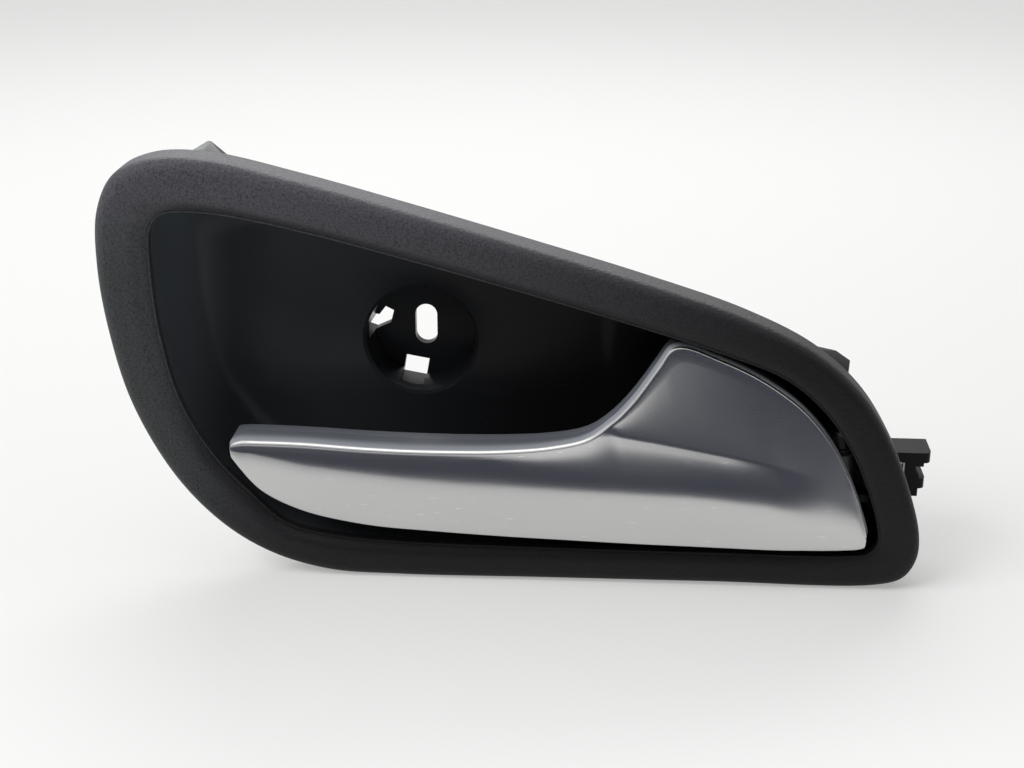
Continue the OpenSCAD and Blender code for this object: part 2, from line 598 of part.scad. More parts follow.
// How far the web reaches right of the pin, and how far it stays inside the eyes' outer ends
web_right = 1.5;
web_in = 1;
socket_r = 1.9;
cable_r = 0.8;
module cable_arm() {
    end_y = cable_y + arm_past;
    left = pivot_x - arm_w / 2;
    right = pivot_x + web_right;
    low_z = lower_eye_z[0] + web_in;
    high_z = upper_eye_z[1] - web_in;
    difference() {
        union() {
            block(left, left + arm_w, web_y[0], end_y, cable_z - arm_t / 2, cable_z + arm_t / 2);
            block(left, right, web_y[0], web_y[1], low_z, high_z);
            block(left, right, pivot_y, web_y[1], low_z, lower_eye_z[1]);
            block(left, right, pivot_y, web_y[1], upper_eye_z[0], high_z);
        }
        translate([pivot_x, cable_y, cable_z - arm_t]) cylinder(h = 2 * arm_t, r = socket_r, $fn = 32);
        block(pivot_x, pivot_x + arm_w, cable_y - cable_r, cable_y + cable_r,
            cable_z - arm_t, cable_z + arm_t);
    }
}
module on_pivot(z, r) {
    translate([pivot_x, pivot_y, z[0]]) cylinder(h = z[1] - z[0], r = r, $fn = 48);
}
spring_room_left = 5;
module lever_core() {
    past_end = pivot_x + 10;
    back = core_back_y + eps;
    color("#2b2d31") difference() {
        union() {
            difference() {
                core_skin();
                block(pivot_x - spring_room_left, past_end, core_y - eps, back,
                    lower_eye_z[1], upper_eye_z[0]);
                on_pivot([upper_eye_z[1], over_lug_z], lug_clear_r);
                block(pivot_x - lug_clear_r, past_end, pivot_y, back, upper_eye_z[1], over_lug_z);
                for (p = screw_at) {
                    rod_y(p.x, p.y, core_y - eps, back, screw_r + seat_gap);
                    rod_y(p.x, p.y, core_back_y - screw_head_t - 2 * seat_gap, back, screw_head_r + free_gap);
                }
            }
            on_pivot(lower_eye_z, eye_r);
            on_pivot(upper_eye_z, eye_r);
            cable_arm();
        }
        on_pivot([lower_eye_z[0] - 1, lower_eye_z[1] + 0.01], bush_r + fit_gap);
        on_pivot([upper_eye_z[0] - 0.01, upper_eye_z[1] + 1], bush_r + fit_gap);
    }
}
module hinge_pin() {
    color("#9aa0a6") union() {
        on_pivot([lower_lug_z[0] - pin_head_t, lower_lug_z[0]], pin_r + pin_head_out);
        on_pivot([lower_lug_z[0] - 0.1, upper_lug_z[1] + ring_t + 0.6], pin_r);
    }
}
module pin_retainer() {
    color("#7f858b") difference() {
        on_pivot([upper_lug_z[1] + seat_gap, upper_lug_z[1] + seat_gap + ring_t], ring_r);
        on_pivot([upper_lug_z[1], upper_lug_z[1] + 3], pin_r + fit_gap);
    }
}
// Torsion spring: wire swept along its first leg, the coil and its last leg
wire_sides = 6;
turn_steps = 16;
coil_z = [lower_eye_z[1] + wire_r + free_gap, upper_eye_z[0] - wire_r - free_gap];
function coil_point(u) = let (a = 360 * (spring_turns - 0.25) * u)
    [pivot_x + coil_r * cos(a), pivot_y + coil_r * sin(-a), lerp(coil_z[0], coil_z[1], u)];
// Reach of the first leg behind the pin, and the bends of the last leg left of the pin
first_leg = 8.6;
last_leg_x = [1, 4.5, 11];
module return_spring() {
    steps = ceil(turn_steps * spring_turns);
    leg_y = core_back_y + wire_r + free_gap;
    path = concat(
        [for (y = [first_leg, 0.8]) [pivot_x + coil_r, pivot_y + y, coil_z[0]]],
        [for (k = [0:steps]) coil_point(k / steps)],
        [[pivot_x - last_leg_x[0], pivot_y + coil_r + fit_gap, coil_z[1]]],
        [for (k = [1, 2]) [pivot_x - last_leg_x[k], leg_y, coil_z[1]]]);
    n = len(path);
    rings = [for (i = [0:n - 1]) let (d = path[min(i + 1, n - 1)] - path[max(i - 1, 0)], e = d / norm(d),
        side = cross(e, [0, 0, 1]), s = side / norm(side), up = cross(s, e))
        [for (k = [0:wire_sides - 1]) let (a = 360 * k / wire_sides)
            path[i] + wire_r * (cos(a) * s + sin(a) * up)]];
    last = (n - 1) * wire_sides;
    color("#8c9196") polyhedron(points = [for (r = rings) each r],
        faces = concat(ring_faces(n, wire_sides, false), [[for (k = [wire_sides - 1:-1:0]) k]],
            [[for (k = [0:wire_sides - 1]) last + k]]), convexity = 8);
}
module bush(body_z, flange_z) {
    color("#18181a") difference() {
        union() {
            on_pivot(body_z, bush_r);
            on_pivot(flange_z, eye_r - 0.9);
        }
        on_pivot([min(body_z[0], flange_z[0]) - 1, max(body_z[1], flange_z[1]) + 1], pin_r + pin_gap);
    }
}
module lower_bush() {
    bush([lower_eye_z[0] - 0.1, lower_eye_z[1]], [lower_eye_z[0] - bush_flange_t, lower_eye_z[0]]);
}
module upper_bush() {
    bush([upper_eye_z[0], upper_eye_z[1] + 0.1], [upper_eye_z[1], upper_eye_z[1] + bush_flange_t]);
}
// Depth and half height of the rest buffer beside the arm
rest_buffer_y = [pivot_y + 8, pivot_y + 14];
rest_buffer_h = 2.4;
module rest_buffer() {
    color("#1d1d1f") block(pivot_x + arm_w / 2 + free_gap, housing_x[1], rest_buffer_y[0], rest_buffer_y[1],
        cable_z - rest_buffer_h, cable_z + rest_buffer_h);
}
module open_buffer() {
    color("#1d1d1f") difference() {
        rod_y(open_post_x, cable_z, floor_y - post_len + 0.4, floor_y + 2, sleeve_r);
        rod_y(open_post_x, cable_z, floor_y - post_len, floor_y + 3, post_r + fit_gap);
    }
}
module core_screws() {
    color("#b0b4b8") for (p = screw_at) {
        head_y = core_back_y - seat_gap - screw_head_t;
        rod_y(p.x, p.y, head_y, head_y + screw_head_t, screw_head_r);
        rod_y(p.x, p.y, blade_y + screw_start, head_y + seat_gap, screw_r);
    }
}
// Felt strip on the back of the flange, along the opening between two stations
felt_t = 1.2;
felt_w = 2.2;
felt_out = carrier_wall + 0.4;
upper_felt_at = [21, 25];
lower_felt_at = [76, 78];
left_felt_at = [97, 101];
module felt(at) {
    color("#3a3a38") slab(flange_back_y, flange_back_y + felt_t) polygon(concat(
        [for (i = [at[0]:at[1]]) beside_lip(i, felt_out)],
        [for (i = [at[1]:-1:at[0]]) beside_lip(i, felt_out + felt_w)]));
}
module felt_upper() {
    felt(upper_felt_at);
}
module felt_lower() {
    felt(lower_felt_at);
}
module felt_left() {
    felt(left_felt_at);
}

bezel();
carrier();
lever_shell();
lever_core();
hinge_pin();
pin_retainer();
return_spring();
lower_bush();
upper_bush();
rest_buffer();
open_buffer();
core_screws();
felt_upper();
felt_lower();
felt_left();
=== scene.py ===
"""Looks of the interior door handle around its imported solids."""

import bmesh
import bpy
import numpy as np
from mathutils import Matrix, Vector


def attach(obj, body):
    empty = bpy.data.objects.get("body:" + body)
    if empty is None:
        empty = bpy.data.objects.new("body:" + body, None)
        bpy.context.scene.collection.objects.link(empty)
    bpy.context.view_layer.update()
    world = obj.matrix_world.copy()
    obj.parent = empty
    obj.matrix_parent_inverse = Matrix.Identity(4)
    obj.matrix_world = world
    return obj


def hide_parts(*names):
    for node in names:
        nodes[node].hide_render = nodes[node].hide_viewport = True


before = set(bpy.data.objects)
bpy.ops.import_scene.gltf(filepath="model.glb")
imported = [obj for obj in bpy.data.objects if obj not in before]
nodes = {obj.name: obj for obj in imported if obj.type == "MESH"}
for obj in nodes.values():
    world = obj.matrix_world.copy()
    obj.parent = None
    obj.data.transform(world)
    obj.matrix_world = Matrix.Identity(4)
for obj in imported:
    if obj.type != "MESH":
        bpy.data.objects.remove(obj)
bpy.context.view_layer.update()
scene = bpy.context.scene
MM = 0.001
# Least length that is divided by
TINY = 1e-6

# ------------------------------------------------------------------ camera
# The photo's camera, worked out from the outlines: place and aim in metres, lens in millimetres
CAMERA_PLACE = (0.04847, -0.39296, 0.13477)
CAMERA_AIM = (-0.06512, 0.93131, -0.35837)
CAMERA_LENS = 59.06
camera = bpy.data.objects.new("camera", bpy.data.cameras.new("camera"))
scene.collection.objects.link(camera)
camera.location = CAMERA_PLACE
camera.rotation_mode = "QUATERNION"
camera.rotation_quaternion = Vector(CAMERA_AIM).to_track_quat("-Z", "Y")
camera.data.lens = CAMERA_LENS
camera.data.sensor_width = 36
scene.camera = camera
scene.view_settings.view_transform = "Standard"


# ------------------------------------------------------------------ materials
# Sockets of the mix node that take and give colours, and the attribute node's plain value
MIX_FACTOR, MIX_A, MIX_B, MIX_OUT = 0, 6, 7, 2
ATTRIBUTE_VALUE = 2


class Tone:
    """A value or colour on its way through the nodes of a finish."""

    def __init__(self, tree, socket):
        self.tree = tree
        self.socket = socket

    def node(self, kind, settings=None, inputs=None, output=0):
        """Adds a node fed with tones and plain values, and gives what it puts out."""
        made = self.tree.nodes.new(kind)
        for key, value in (settings or {}).items():
            setattr(made, key, value)
        for key, value in (inputs or {}).items():
            if isinstance(value, Tone):
                self.tree.links.new(value.socket, made.inputs[key])
            else:
                made.inputs[key].default_value = value
        return Tone(self.tree, made.outputs[output])

    def maths(self, operation, *values):
        return self.node("ShaderNodeMath", {"operation": operation}, dict(enumerate(values)))

    def __add__(self, other):
        return self.maths("ADD", self, other)

    __radd__ = __add__

    def __mul__(self, other):
        return self.maths("MULTIPLY", self, other)

    __rmul__ = __mul__

    def __sub__(self, other):
        return self.maths("SUBTRACT", self, other)

    def __rsub__(self, other):
        return self.maths("SUBTRACT", other, self)

    def limit(self):
        """Held between 0 and 1."""
        return self.node("ShaderNodeClamp", None, {"Value": self})

    def between(self, low, high):
        """0 below low, 1 above high, with a soft step."""
        settings = {"interpolation_type": "SMOOTHSTEP"}
        inputs = {"Value": self, "From Min": low, "From Max": high}
        return self.node("ShaderNodeMapRange", settings, inputs)

    def mix(self, low, high):
        """Colour from low at 0 to high at 1."""
        inputs = {MIX_FACTOR: self, MIX_A: low, MIX_B: high}
        return self.node("ShaderNodeMix", {"data_type": "RGBA"}, inputs, MIX_OUT)

    def tint(self, dark, light):
        """Plain colours mixed, dark at 0 and light at 1."""
        return self.mix((*dark, 1), (*light, 1))

    def over(self, under, colour):
        """Plain colour laid over another tone by this share."""
        return self.mix(under, (*colour, 1))

    def attribute(self, name):
        """The mesh's own value of this name."""
        return self.node("ShaderNodeAttribute", {"attribute_name": name}, None, ATTRIBUTE_VALUE)

    def noise(self, scale, detail=2.0, roughness=0.5):
        inputs = {"Vector": self, "Scale": scale, "Detail": detail, "Roughness": roughness}
        return self.node("ShaderNodeTexNoise", None, inputs)

    def pebbles(self, scale):
        inputs = {"Vector": self, "Scale": scale}
        return self.node("ShaderNodeTexVoronoi", {"feature": "SMOOTH_F1"}, inputs)

    def stretched(self, along, turn=(0, 0, 0)):
        inputs = {"Vector": self, "Scale": along, "Rotation": turn}
        return self.node("ShaderNodeMapping", None, inputs)

    def axes(self):
        split = self.tree.nodes.new("ShaderNodeSeparateXYZ")
        self.tree.links.new(self.socket, split.inputs[0])
        return [Tone(self.tree, s) for s in split.outputs]

    def bump(self, strength, distance):
        inputs = {"Height": self, "Strength": strength, "Distance": distance}
        return self.node("ShaderNodeBump", None, inputs)


class Finish:
    """One material of the handle. Uniform values sit on the shader's own sockets."""

    def __init__(self, name, **sockets):
        self.material = bpy.data.materials.new(name)
        self.material.use_nodes = True
        self.tree = self.material.node_tree
        self.shader = self.tree.nodes["Principled BSDF"]
        for key, value in sockets.items():
            self.shader.inputs[key.replace("_", " ")].default_value = value
        coordinates = self.tree.nodes.new("ShaderNodeTexCoord")
        self.place = Tone(self.tree, coordinates.outputs["Object"])

    def feed(self, **tones):
        for key, tone in tones.items():
            self.tree.links.new(tone.socket, self.shader.inputs[key.replace("_", " ")])
        return self.material


# Places in the finishes are metres in the part's frame, x along the handle and z upwards
def grained_plastic():
    """Grained charcoal moulding, with painted light that pales it towards the upper left and on the
    lower left, and painted shade and a painted sheen on the slope beside the lip.
    """
    f = Finish("grained_charcoal", Specular_IOR_Level=0.26)
    p = f.place
    x, _, z = p.axes()
    # Painted light: paler towards the upper left, darker towards the lower right where the rim lies
    # in shade
    painted_light_upper_left = (z * 11 - x * 5.5 + 0.42).between(-0.1, 1.1)
    # Painted light: a paler greenish tone on the lower left, where light falls from the left
    painted_light_lower_left = (1 - x.between(-0.064, -0.04)) * (1 - z.between(0.02, 0.045))
    left = 1 - x.between(-0.058, -0.048)
    band = p.attribute("painted_lip_shading")
    pebbles = p.pebbles(1500)
    fine = p.noise(2600)
    broad = p.noise(34, 3.0, 0.6)
    dust = p.noise(900, 3.0, 0.7).between(0.66, 0.78)
    speckle = p.noise(2100, 3.0, 0.65).between(0.40, 0.70)
    grain = pebbles * 0.7 + fine * 0.5
    colour = painted_light_upper_left.tint((0.006, 0.0063, 0.0066), (0.070, 0.070, 0.080))
    colour = (painted_light_lower_left * 0.8).over(colour, (0.038, 0.043, 0.042))
    # Painted shade darkens the slope beside the lip along the top and right, and a painted sheen
    # lightens it at the left
    colour = (band * (1 - left) * 0.6).over(colour, (0.010, 0.010, 0.011))
    colour = (band * left * 0.5).over(colour, (0.085, 0.085, 0.092))
    colour = (speckle * 0.55).over(colour, (0.004, 0.004, 0.004))
    colour = (dust * 0.12).over(colour, (0.16, 0.16, 0.16))
    rough = 0.44 + fine * 0.12 + broad * 0.05
    return f.feed(Base_Color=colour, Roughness=rough, Normal=grain.bump(0.8, 0.0002))


def gloss_black():
    """Gloss black moulding, paler to the left with a film of dust and a painted reflection, with
    painted light on its left wall, and matt at its back.
    """
    f = Finish("gloss_black", Specular_IOR_Level=0.1)
    p = f.place
    x = p.axes()[0]
    haze = p.noise(55, 4.0, 0.6)
    # Paler film to the left: partly dust, partly a painted reflection
    film = (1 - x.between(-0.075, 0.035)) * (0.8 + haze * 0.4)
    # Painted light on the left wall of the bowl
    painted_light_left_wall = 1 - x.between(-0.058, -0.044)
    speck = p.noise(1400).between(0.72, 0.80)
    scuff = p.stretched((60, 60, 900), (0, 0.5, 0)).noise(2.0, 3.0, 0.6).between(0.68, 0.76)
    behind = p.attribute("behind")
    colour = haze.tint((0.0050, 0.0052, 0.0060), (0.0068, 0.0066, 0.0072))
    colour = (film * 0.8).over(colour, (0.050, 0.056, 0.063))
    colour = (painted_light_left_wall * 0.6).over(colour, (0.105, 0.118, 0.130))
    colour = (speck * 0.25).over(colour, (0.05, 0.05, 0.05))
    colour = behind.over(colour, (0.030, 0.031, 0.033))
    rough = 0.18 + haze * 0.08 + scuff * 0.10 + speck * 0.2 + behind * 0.3
    return f.feed(Base_Color=colour, Roughness=rough, Normal=p.noise(700).bump(0.08, 0.00005))


def satin_chrome():
    """Satin chrome on the front of the lever, bare grey moulding on the walls beside it, with
    painted light paler towards their rim and painted shade towards the split.
    """
    f = Finish("satin_chrome", Metallic=1.0)
    p = f.place
    plating = p.attribute("plating")
    painted_rim_light = p.attribute("painted_rim_light")
    mist = p.noise(40, 3.0, 0.55)
    fine = p.noise(5200)
    scratch = p.stretched((260, 260, 2600), (0, 0.9, 0)).noise(1.0, 1.0).between(0.735, 0.75)
    colour = mist.tint((0.585, 0.585, 0.585), (0.625, 0.620, 0.612))
    colour = (scratch * 0.5).over(colour, (0.9, 0.9, 0.9))
    # Painted light on the bare wall, paler towards its rim, and painted shade towards the split
    wall = painted_rim_light.tint((0.105, 0.113, 0.130), (0.26, 0.275, 0.30))
    colour = plating.mix(wall, colour)
    rough = 0.2 + mist * 0.05 + fine * 0.03 + (1 - plating) * 0.2
    return f.feed(Base_Color=colour, Roughness=rough, Metallic=plating,
                  Normal=fine.bump(0.05, 0.00003))


# Painted shade, near black, for the hidden end of a moulding deep in a gap, and the length over
# which it comes in
PAINTED_SHADE = (0.008, 0.008, 0.009)
PAINTED_SHADE_FADE = 0.012


def smooth_moulding(name, dark, light, rough, grit=0.08, black_from=1.0, shine=0.5):
    """Plain moulding. Past black_from, in metres along the handle, painted shade darkens it near
    black.
    """
    f = Finish(name, Specular_IOR_Level=shine)
    p = f.place
    broad = p.noise(70, 3.0)
    fine = p.noise(2600)
    in_painted_shade = p.axes()[0].between(black_from, black_from + PAINTED_SHADE_FADE)
    colour = in_painted_shade.over(broad.tint(dark, light), PAINTED_SHADE)
    return f.feed(Base_Color=colour, Roughness=rough + broad * 0.1 + fine * grit,
                  Normal=fine.bump(0.12, 0.00006))


def turned_steel(name, along, tone):
    """Steel with the fine rings or lines of its making, closest where along is greatest."""
    f = Finish(name, Metallic=1.0)
    p = f.place
    turned = p.stretched(along).noise(1.0, 3.0, 0.6)
    film = p.noise(180, 3.0, 0.6)
    light = tuple(c * 1.15 for c in tone)
    return f.feed(Base_Color=film.tint(tone, light), Roughness=0.26 + turned * 0.16 + film * 0.06,
                  Normal=turned.bump(0.12, 0.00004))


def felt_cloth():
    """Pressed felt: two layers of fibres that cross."""
    f = Finish("charcoal_felt", Specular_IOR_Level=0.2, Sheen_Weight=0.3)
    p = f.place
    fibre = p.stretched((1, 1, 0.35), (0.6, 0.4, 0.2)).noise(3600, 4.0, 0.7)
    cross = p.stretched((0.35, 1, 1), (0.1, 0.7, 0.5)).noise(3100, 4.0, 0.7)
    mat = fibre * 0.5 + cross * 0.5
    return f.feed(Base_Color=mat.tint((0.022, 0.022, 0.02), (0.085, 0.085, 0.08)),
                  Roughness=0.85 + mat * 0.1, Normal=mat.bump(0.7, 0.0003))


GRAINED = grained_plastic()
GLOSS = gloss_black()
CHROME = satin_chrome()
# The core's hinge end, past 78 mm along the handle, takes the painted shade
DARK = smooth_moulding("dark_grey_moulding", (0.115, 0.124, 0.142), (0.132, 0.142, 0.160), 0.36,
                       black_from=0.078)
STEEL = turned_steel("turned_steel", (60, 60, 2600), (0.50, 0.51, 0.52))
WIRE = turned_steel("blackened_steel", (900, 900, 300), (0.034, 0.035, 0.037))
NYLON = smooth_moulding("black_nylon", (0.006, 0.006, 0.007), (0.010, 0.010, 0.011), 0.45,
                        shine=0.15)
RUBBER = smooth_moulding("matt_rubber", (0.016, 0.016, 0.017), (0.026, 0.026, 0.027), 0.62,
                         grit=0.15)
FELT = felt_cloth()


def coat(piece, material):
    """Gives a piece its finish, as its only material."""
    piece.data.materials.clear()
    piece.data.materials.append(material)


# ------------------------------------------------------------------ meshes
# Angle in radians given to an edge with one face, above any fold, so that it stays sharp
OPEN_EDGE = 3.2


def piece_of(name, points, faces, smooth_below=40):
    """A new piece of the scene, its sizes in metres and the angle in degrees."""
    mesh = bpy.data.meshes.new(name)
    mesh.from_pydata([tuple(p) for p in points], [], faces)
    piece = bpy.data.objects.new(name, mesh)
    scene.collection.objects.link(piece)
    soften(mesh, smooth_below)
    return piece


def soften(mesh, smooth_below):
    """Shades the mesh smooth, but for edges sharper than the angle."""
    work = bmesh.new()
    work.from_mesh(mesh)
    for face in work.faces:
        face.smooth = True
    for edge in work.edges:
        edge.smooth = edge.calc_face_angle(OPEN_EDGE) < np.radians(smooth_below)
    work.to_mesh(mesh)
    work.free()


def merged_copy(node, name, smooth_below):
    """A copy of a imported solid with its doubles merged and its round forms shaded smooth."""
    mesh = nodes[node].data.copy()
    mesh.name = name
    work = bmesh.new()
    work.from_mesh(mesh)
    bmesh.ops.remove_doubles(work, verts=work.verts, dist=2e-6)
    bmesh.ops.dissolve_degenerate(work, edges=work.edges, dist=1e-6)
    work.to_mesh(mesh)
    work.free()
    if "custom_normal" in mesh.attributes:
        mesh.attributes.remove(mesh.attributes["custom_normal"])
    piece = bpy.data.objects.new(name, mesh)
    scene.collection.objects.link(piece)
    soften(mesh, smooth_below)
    return piece


def spline(points, steps, closed):
    """Centripetal spline through points, steps to a span."""
    p = [np.array(q, float) for q in points]
    if closed:
        p = [p[-1]] + p + [p[0], p[1]]
    else:
        p = [2 * p[0] - p[1]] + p + [2 * p[-1] - p[-2]]
    out = []
    u = np.linspace(0, 1, steps, endpoint=False)[:, None]
    for p0, p1, p2, p3 in zip(p, p[1:], p[2:], p[3:]):
        t1 = max(np.linalg.norm(p1 - p0) ** 0.5, TINY)
        t2 = t1 + max(np.linalg.norm(p2 - p1) ** 0.5, TINY)
        t3 = t2 + max(np.linalg.norm(p3 - p2) ** 0.5, TINY)
        t = t1 + u * (t2 - t1)
        a1 = p0 * (t1 - t) / t1 + p1 * t / t1
        a2 = p1 * (t2 - t) / (t2 - t1) + p2 * (t - t1) / (t2 - t1)
        a3 = p2 * (t3 - t) / (t3 - t2) + p3 * (t - t2) / (t3 - t2)
        b1 = a1 * (t2 - t) / t2 + a2 * t / t2
        b2 = a2 * (t3 - t) / (t3 - t1) + a3 * (t - t1) / (t3 - t1)
        out.append(b1 * (t2 - t) / (t2 - t1) + b2 * (t - t1) / (t2 - t1))
    if not closed:
        out.append(np.array([points[-1]], float))
    return np.concatenate(out)


def grid_faces(stations, rows, around, across):
    """Quads between stations of rows. around closes the ring of stations, across that of rows."""
    faces = []
    for i in range(stations if around else stations - 1):
        for k in range(rows if across else rows - 1):
            a, b = i * rows + k, i * rows + (k + 1) % rows
            j = (i + 1) % stations
            faces.append((a, b, j * rows + (k + 1) % rows, j * rows + k))
    return faces


# Pegs: sides of the stem and of the head, and the head's end as a share of its foot
STEM_SIDES = 24
HEAD_SIDES = 32
HEAD_TAPER = 0.82


def peg_tree():
    """Geometry Nodes: at every point a round stem with a tapered head, its foot on the point."""
    tree = bpy.data.node_groups.new("pegs_on_points", "GeometryNodeTree")
    tree.interface.new_socket("Points", in_out="INPUT", socket_type="NodeSocketGeometry")
    for label in ("Stem Radius", "Stem Length", "Head Radius", "Head Height"):
        tree.interface.new_socket(label, in_out="INPUT", socket_type="NodeSocketFloat")
    tree.interface.new_socket("Finish", in_out="INPUT", socket_type="NodeSocketMaterial")
    tree.interface.new_socket("Pegs", in_out="OUTPUT", socket_type="NodeSocketGeometry")
    given = tree.nodes.new("NodeGroupInput").outputs

    def node(kind, inputs, **settings):
        made = tree.nodes.new(kind)
        for key, value in settings.items():
            setattr(made, key, value)
        for key, value in inputs.items():
            if isinstance(value, bpy.types.NodeSocket):
                tree.links.new(value, made.inputs[key])
            else:
                made.inputs[key].default_value = value
        return made

    def turned(mesh, back):
        """Stood along the depth axis and moved back by this."""
        moved = node("ShaderNodeCombineXYZ", {"Y": back})
        inputs = {"Geometry": mesh, "Translation": moved.outputs[0], "Rotation": (-np.pi / 2, 0, 0)}
        return node("GeometryNodeTransform", inputs).outputs[0]

    def scaled(label, factor):
        """A given size times a factor."""
        inputs = {0: given[label], 1: factor}
        return node("ShaderNodeMath", inputs, operation="MULTIPLY").outputs[0]

    stem = node("GeometryNodeMeshCylinder", {
        "Vertices": STEM_SIDES, "Radius": given["Stem Radius"], "Depth": given["Stem Length"]})
    head = node("GeometryNodeMeshCone", {
        "Vertices": HEAD_SIDES, "Radius Top": scaled("Head Radius", HEAD_TAPER),
        "Radius Bottom": given["Head Radius"], "Depth": given["Head Height"]})
    peg = node("GeometryNodeJoinGeometry", {})
    tree.links.new(turned(stem.outputs["Mesh"], scaled("Stem Length", -0.5)), peg.inputs[0])
    tree.links.new(turned(head.outputs["Mesh"], scaled("Head Height", -1.0)), peg.inputs[0])
    placed = node("GeometryNodeInstanceOnPoints", {
        "Points": given["Points"], "Instance": peg.outputs[0]})
    real = node("GeometryNodeRealizeInstances", {"Geometry": placed.outputs[0]})
    coated = node("GeometryNodeSetMaterial", {
        "Geometry": real.outputs[0], "Material": given["Finish"]})
    tree.links.new(coated.outputs[0], tree.nodes.new("NodeGroupOutput").inputs[0])
    return tree


PEGS = peg_tree()


def pegs(name, points, material, **sizes):
    """One mesh of pegs at points, sizes in millimetres."""
    piece = piece_of(name, points, [])
    modifier = piece.modifiers.new("pegs", "NODES")
    modifier.node_group = PEGS
    values = {key.replace("_", " "): value * MM for key, value in sizes.items()}
    values["Finish"] = material
    for item in PEGS.interface.items_tree:
        if item.in_out == "INPUT" and item.name in values:
            modifier[item.identifier] = values[item.name]
    evaluated = piece.evaluated_get(bpy.context.evaluated_depsgraph_get())
    made = bpy.data.meshes.new_from_object(evaluated)
    piece.modifiers.clear()
    piece.data = made
    soften(made, smooth_below=35)
    return piece


def take_in(piece, other):
    """Makes other a part of the same mesh."""
    work = bmesh.new()
    work.from_mesh(piece.data)
    work.from_mesh(other.data)
    work.to_mesh(piece.data)
    work.free()
    bpy.data.objects.remove(other)


def lerp(a, b, t):
    """From a at 0 to b at 1."""
    return a + (b - a) * t


def ramp(x, x0, x1):
    """0 up to x0 and 1 from x1, with a soft step."""
    t = np.clip((x - x0) / (x1 - x0), 0, 1)
    return t * t * (3 - 2 * t)


# Depth planes of the solids and the wall of the surround, in millimetres
LIP_BACK_Y = -36.7
LIP_Y = -38.7
TRIM_Y = -31.1
BLADE_Y = -43.0
SPLIT_Y = -34.6
FLANGE_BACK_Y = -34.4
RIM_WALL = 2.2

# Outlines on their depth planes, x and z in millimetres
LIP_POINTS = [
    (-57.6, 24), (-57, 33), (-54.6, 36.3), (-50, 37.1), (-40, 36.4), (-22, 32.8), (0, 27.2),
    (26, 20.1), (52, 12.6), (72, 6.3), (85, 1.1), (94, -6.3), (100.6, -15.6), (105, -25.2),
    (108.1, -35.2), (108.3, -38.8), (106.4, -41.4), (102, -42.2), (70, -42.4), (30, -42.4),
    (-2, -42), (-18, -40.9), (-29.5, -38), (-38, -30.2), (-46, -21), (-52.9, -8), (-56.5, 8)]
RIM_POINTS = [
    (-69.9, 25), (-68.8, 37.4), (-64.6, 45.3), (-56.5, 49), (-44, 49.1), (-24, 44.7), (-1, 38.5),
    (26, 30.8), (54, 22.5), (76, 15), (91.5, 7.2), (102.4, -2.4), (110, -14.2), (115, -26.2),
    (118, -37), (117.9, -43.2), (115.2, -48), (109, -50.1), (70, -50.42), (30, -50.6), (-3, -50.8),
    (-20, -50), (-33.7, -45.9), (-44.8, -38.9), (-55.4, -26.9), (-64.4, -8.8), (-68.5, 9)]
LEVER_TOP = [
    (-42.1, -18.2), (-41.6, -17), (-39.6, -16.3), (-34, -16.2), (-24, -16.4), (-10, -17),
    (6, -17.3), (22, -17), (33, -16.1), (41, -14.2), (46.3, -10.3), (51.2, -4.6), (56.6, 3.7),
    (59.2, 7.6), (62.3, 8.2), (70.2, 5.3), (77.3, 2.1), (84.3, -2.1), (89.7, -6.2), (94.6, -11.5),
    (99, -18.2), (102.7, -26.2), (105.5, -34.2), (106.2, -36.8)]
LEVER_BOTTOM = [
    (-41.9, -19.3), (-41.2, -20.6), (-39.4, -23.4), (-34.6, -28.8), (-25.5, -33.3), (-11, -36.2),
    (6, -37.4), (23, -38.2), (36, -38.6), (46, -38.9), (54, -39.1), (60.5, -39.2), (66.5, -39.3),
    (72, -39.4), (77, -39.5), (82, -39.7), (87, -39.9), (91.4, -40), (95, -40.1), (98.4, -40.1),
    (101.3, -40), (103.6, -39.8), (105.2, -39.2), (106, -37.9)]


def at_depth(p, y):
    """Point of an outline, x and z, on a depth plane."""
    return np.array([p[0], y, p[1]])


# ------------------------------------------------------------------ bezel
# Section of the surround. Rise of its crest over the trim plane, at the left and at the right end
RISE = (9.8, 8.2)
# Shares of the section: its crest, its outer edge and how square its corner and its fall are
CREST_AT = 0.4
EDGE_SHARE = 0.6
ROLL_SQUARE = 0.7
FALL_SQUARE = 4
# Bead at the lip: width, rise and the height of the lip's rounded edge
BEAD = 0.5
BEAD_RISE = 0.16
LIP_ROUND = 0.35
# Back of the section: the hollow's end, how round it is across and in depth, the lip's foot
HOLLOW_END = 0.55
HOLLOW_ROUND = 1.6
HOLLOW_SQUARE = 0.5
LIP_FOOT = 0.86
# Rows of the section, as angles round its corner, bead and hollow, and as shares of its fall
ROLL_ANGLES = np.radians(np.linspace(0, 90, 17))
BEAD_ANGLES = np.radians([60, 90, 120, 150, 180])
HOLLOW_ANGLES = np.radians([90, 70, 45, 20, 0])
FALL_AT = 1 - np.linspace(1, 0, 19)[1:] ** 1.3
SPAN_STEPS = 10


